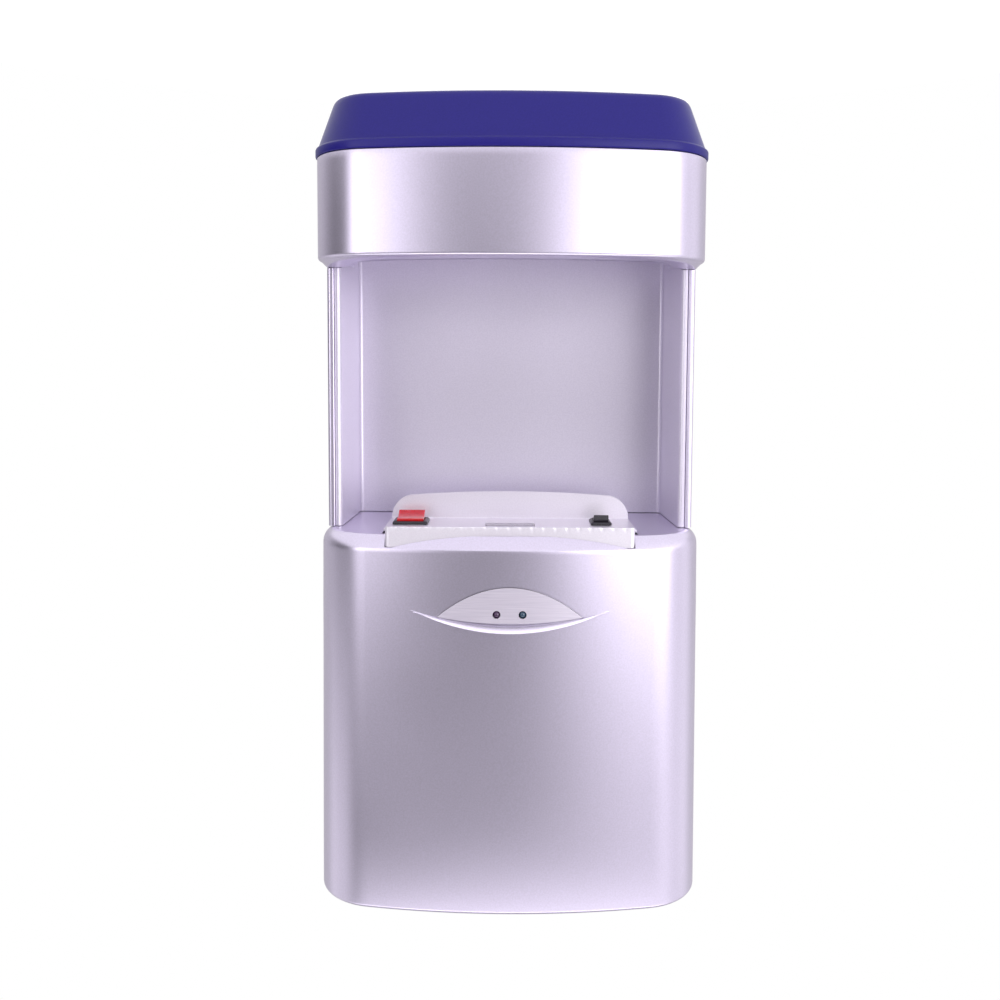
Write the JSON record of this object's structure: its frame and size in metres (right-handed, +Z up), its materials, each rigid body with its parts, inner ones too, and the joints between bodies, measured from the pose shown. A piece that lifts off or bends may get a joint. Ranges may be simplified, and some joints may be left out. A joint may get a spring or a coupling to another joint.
{
  "type": "hand dryer",
  "caption": "Wall-hung automatic hand dryer: rounded head over an open hand recess, with a drip tray and a slide-out drain tank.",
  "frame": {"origin": "centre of the wall bracket's back face, which lies on the wall", "axes": "+Z up, -Y out of the wall towards the user, +X to the user's right"},
  "size_m": [0.2904, 0.1662, 0.5923],
  "materials": {
    "silver_shell": "metallic silver paint with a lilac tint, satin",
    "silver_gloss": "metallic silver, high gloss",
    "tank_blue": "blue-violet moulded plastic, satin",
    "rocker_red": "translucent red, lit from inside",
    "black_plastic": "moulded black, satin",
    "rubber": "matt",
    "steel": "zinc plated",
    "grey_plastic": "moulded grey, matt",
    "filter_foam": "open-cell foam",
    "winding": "varnished copper",
    "mica": "layered mica",
    "board": "green laminate",
    "terminal": "off-white moulding",
    "led_teal": "clear tinted lens",
    "led_plum": "clear tinted lens"
  },
  "bodies": {
    "housing": {"head_cover": "silver_shell", "rear_chassis": "silver_shell", "recess_liner": "silver_shell", "nozzle_bar": "silver_shell", "drain_tray": "silver_shell", "indicator_label": "silver_shell", "control_plate": "silver_gloss", "power_switch_body": "black_plastic", "heater_switch_body": "black_plastic", "sensor_window": "black_plastic", "sensor_module": "black_plastic", "capacitor": "black_plastic", "wall_pad_left": "rubber", "wall_pad_right": "rubber", "cable_grommet": "rubber", "motor_mount": "rubber", "wall_bracket": "steel", "cover_screw_left": "steel", "cover_screw_right": "steel", "tray_screw_left": "steel", "tray_screw_right": "steel", "tank_rail_left": "steel", "tank_rail_right": "steel", "drain_strainer": "steel", "motor_can": "steel", "thermal_cutout": "steel", "heater_coil": "steel", "blower_case": "grey_plastic", "blower_cover": "grey_plastic", "motor_cradle": "grey_plastic", "heater_duct": "grey_plastic", "air_duct": "grey_plastic", "intake_filter_left": "filter_foam", "intake_filter_right": "filter_foam", "transformer": "winding", "heater_frame": "mica", "control_board": "board", "indicator_board": "board", "terminal_block": "terminal", "led_in_use": "led_teal", "led_power": "led_plum"},
    "fan_rotor": {"impeller": "grey_plastic", "motor_shaft": "steel"},
    "power_rocker": {"power_rocker": "rocker_red"},
    "heater_rocker": {"heater_rocker": "black_plastic"},
    "tank": {"drain_tank": "tank_blue"}
  },
  "joints": [
    {"name": "impeller_spin", "type": "hinge", "parent": "housing", "child": "fan_rotor", "pos_m": [0, -0.09, 0.165], "axis": [0, 1, 0], "continuous": true},
    {"name": "power_rock", "type": "hinge", "parent": "housing", "child": "power_rocker", "pos_m": [0.075, -0.112, -0.0221], "axis": [1, 0, 0], "range_deg": [0, 30]},
    {"name": "heater_rock", "type": "hinge", "parent": "housing", "child": "heater_rocker", "pos_m": [-0.0685, -0.112, -0.021], "axis": [1, 0, 0], "range_deg": [-30, 0]},
    {"name": "tank_slide", "type": "slide", "parent": "housing", "child": "tank", "axis": [0, -1, 0], "range_m": [0, 0.16]}
  ]
}
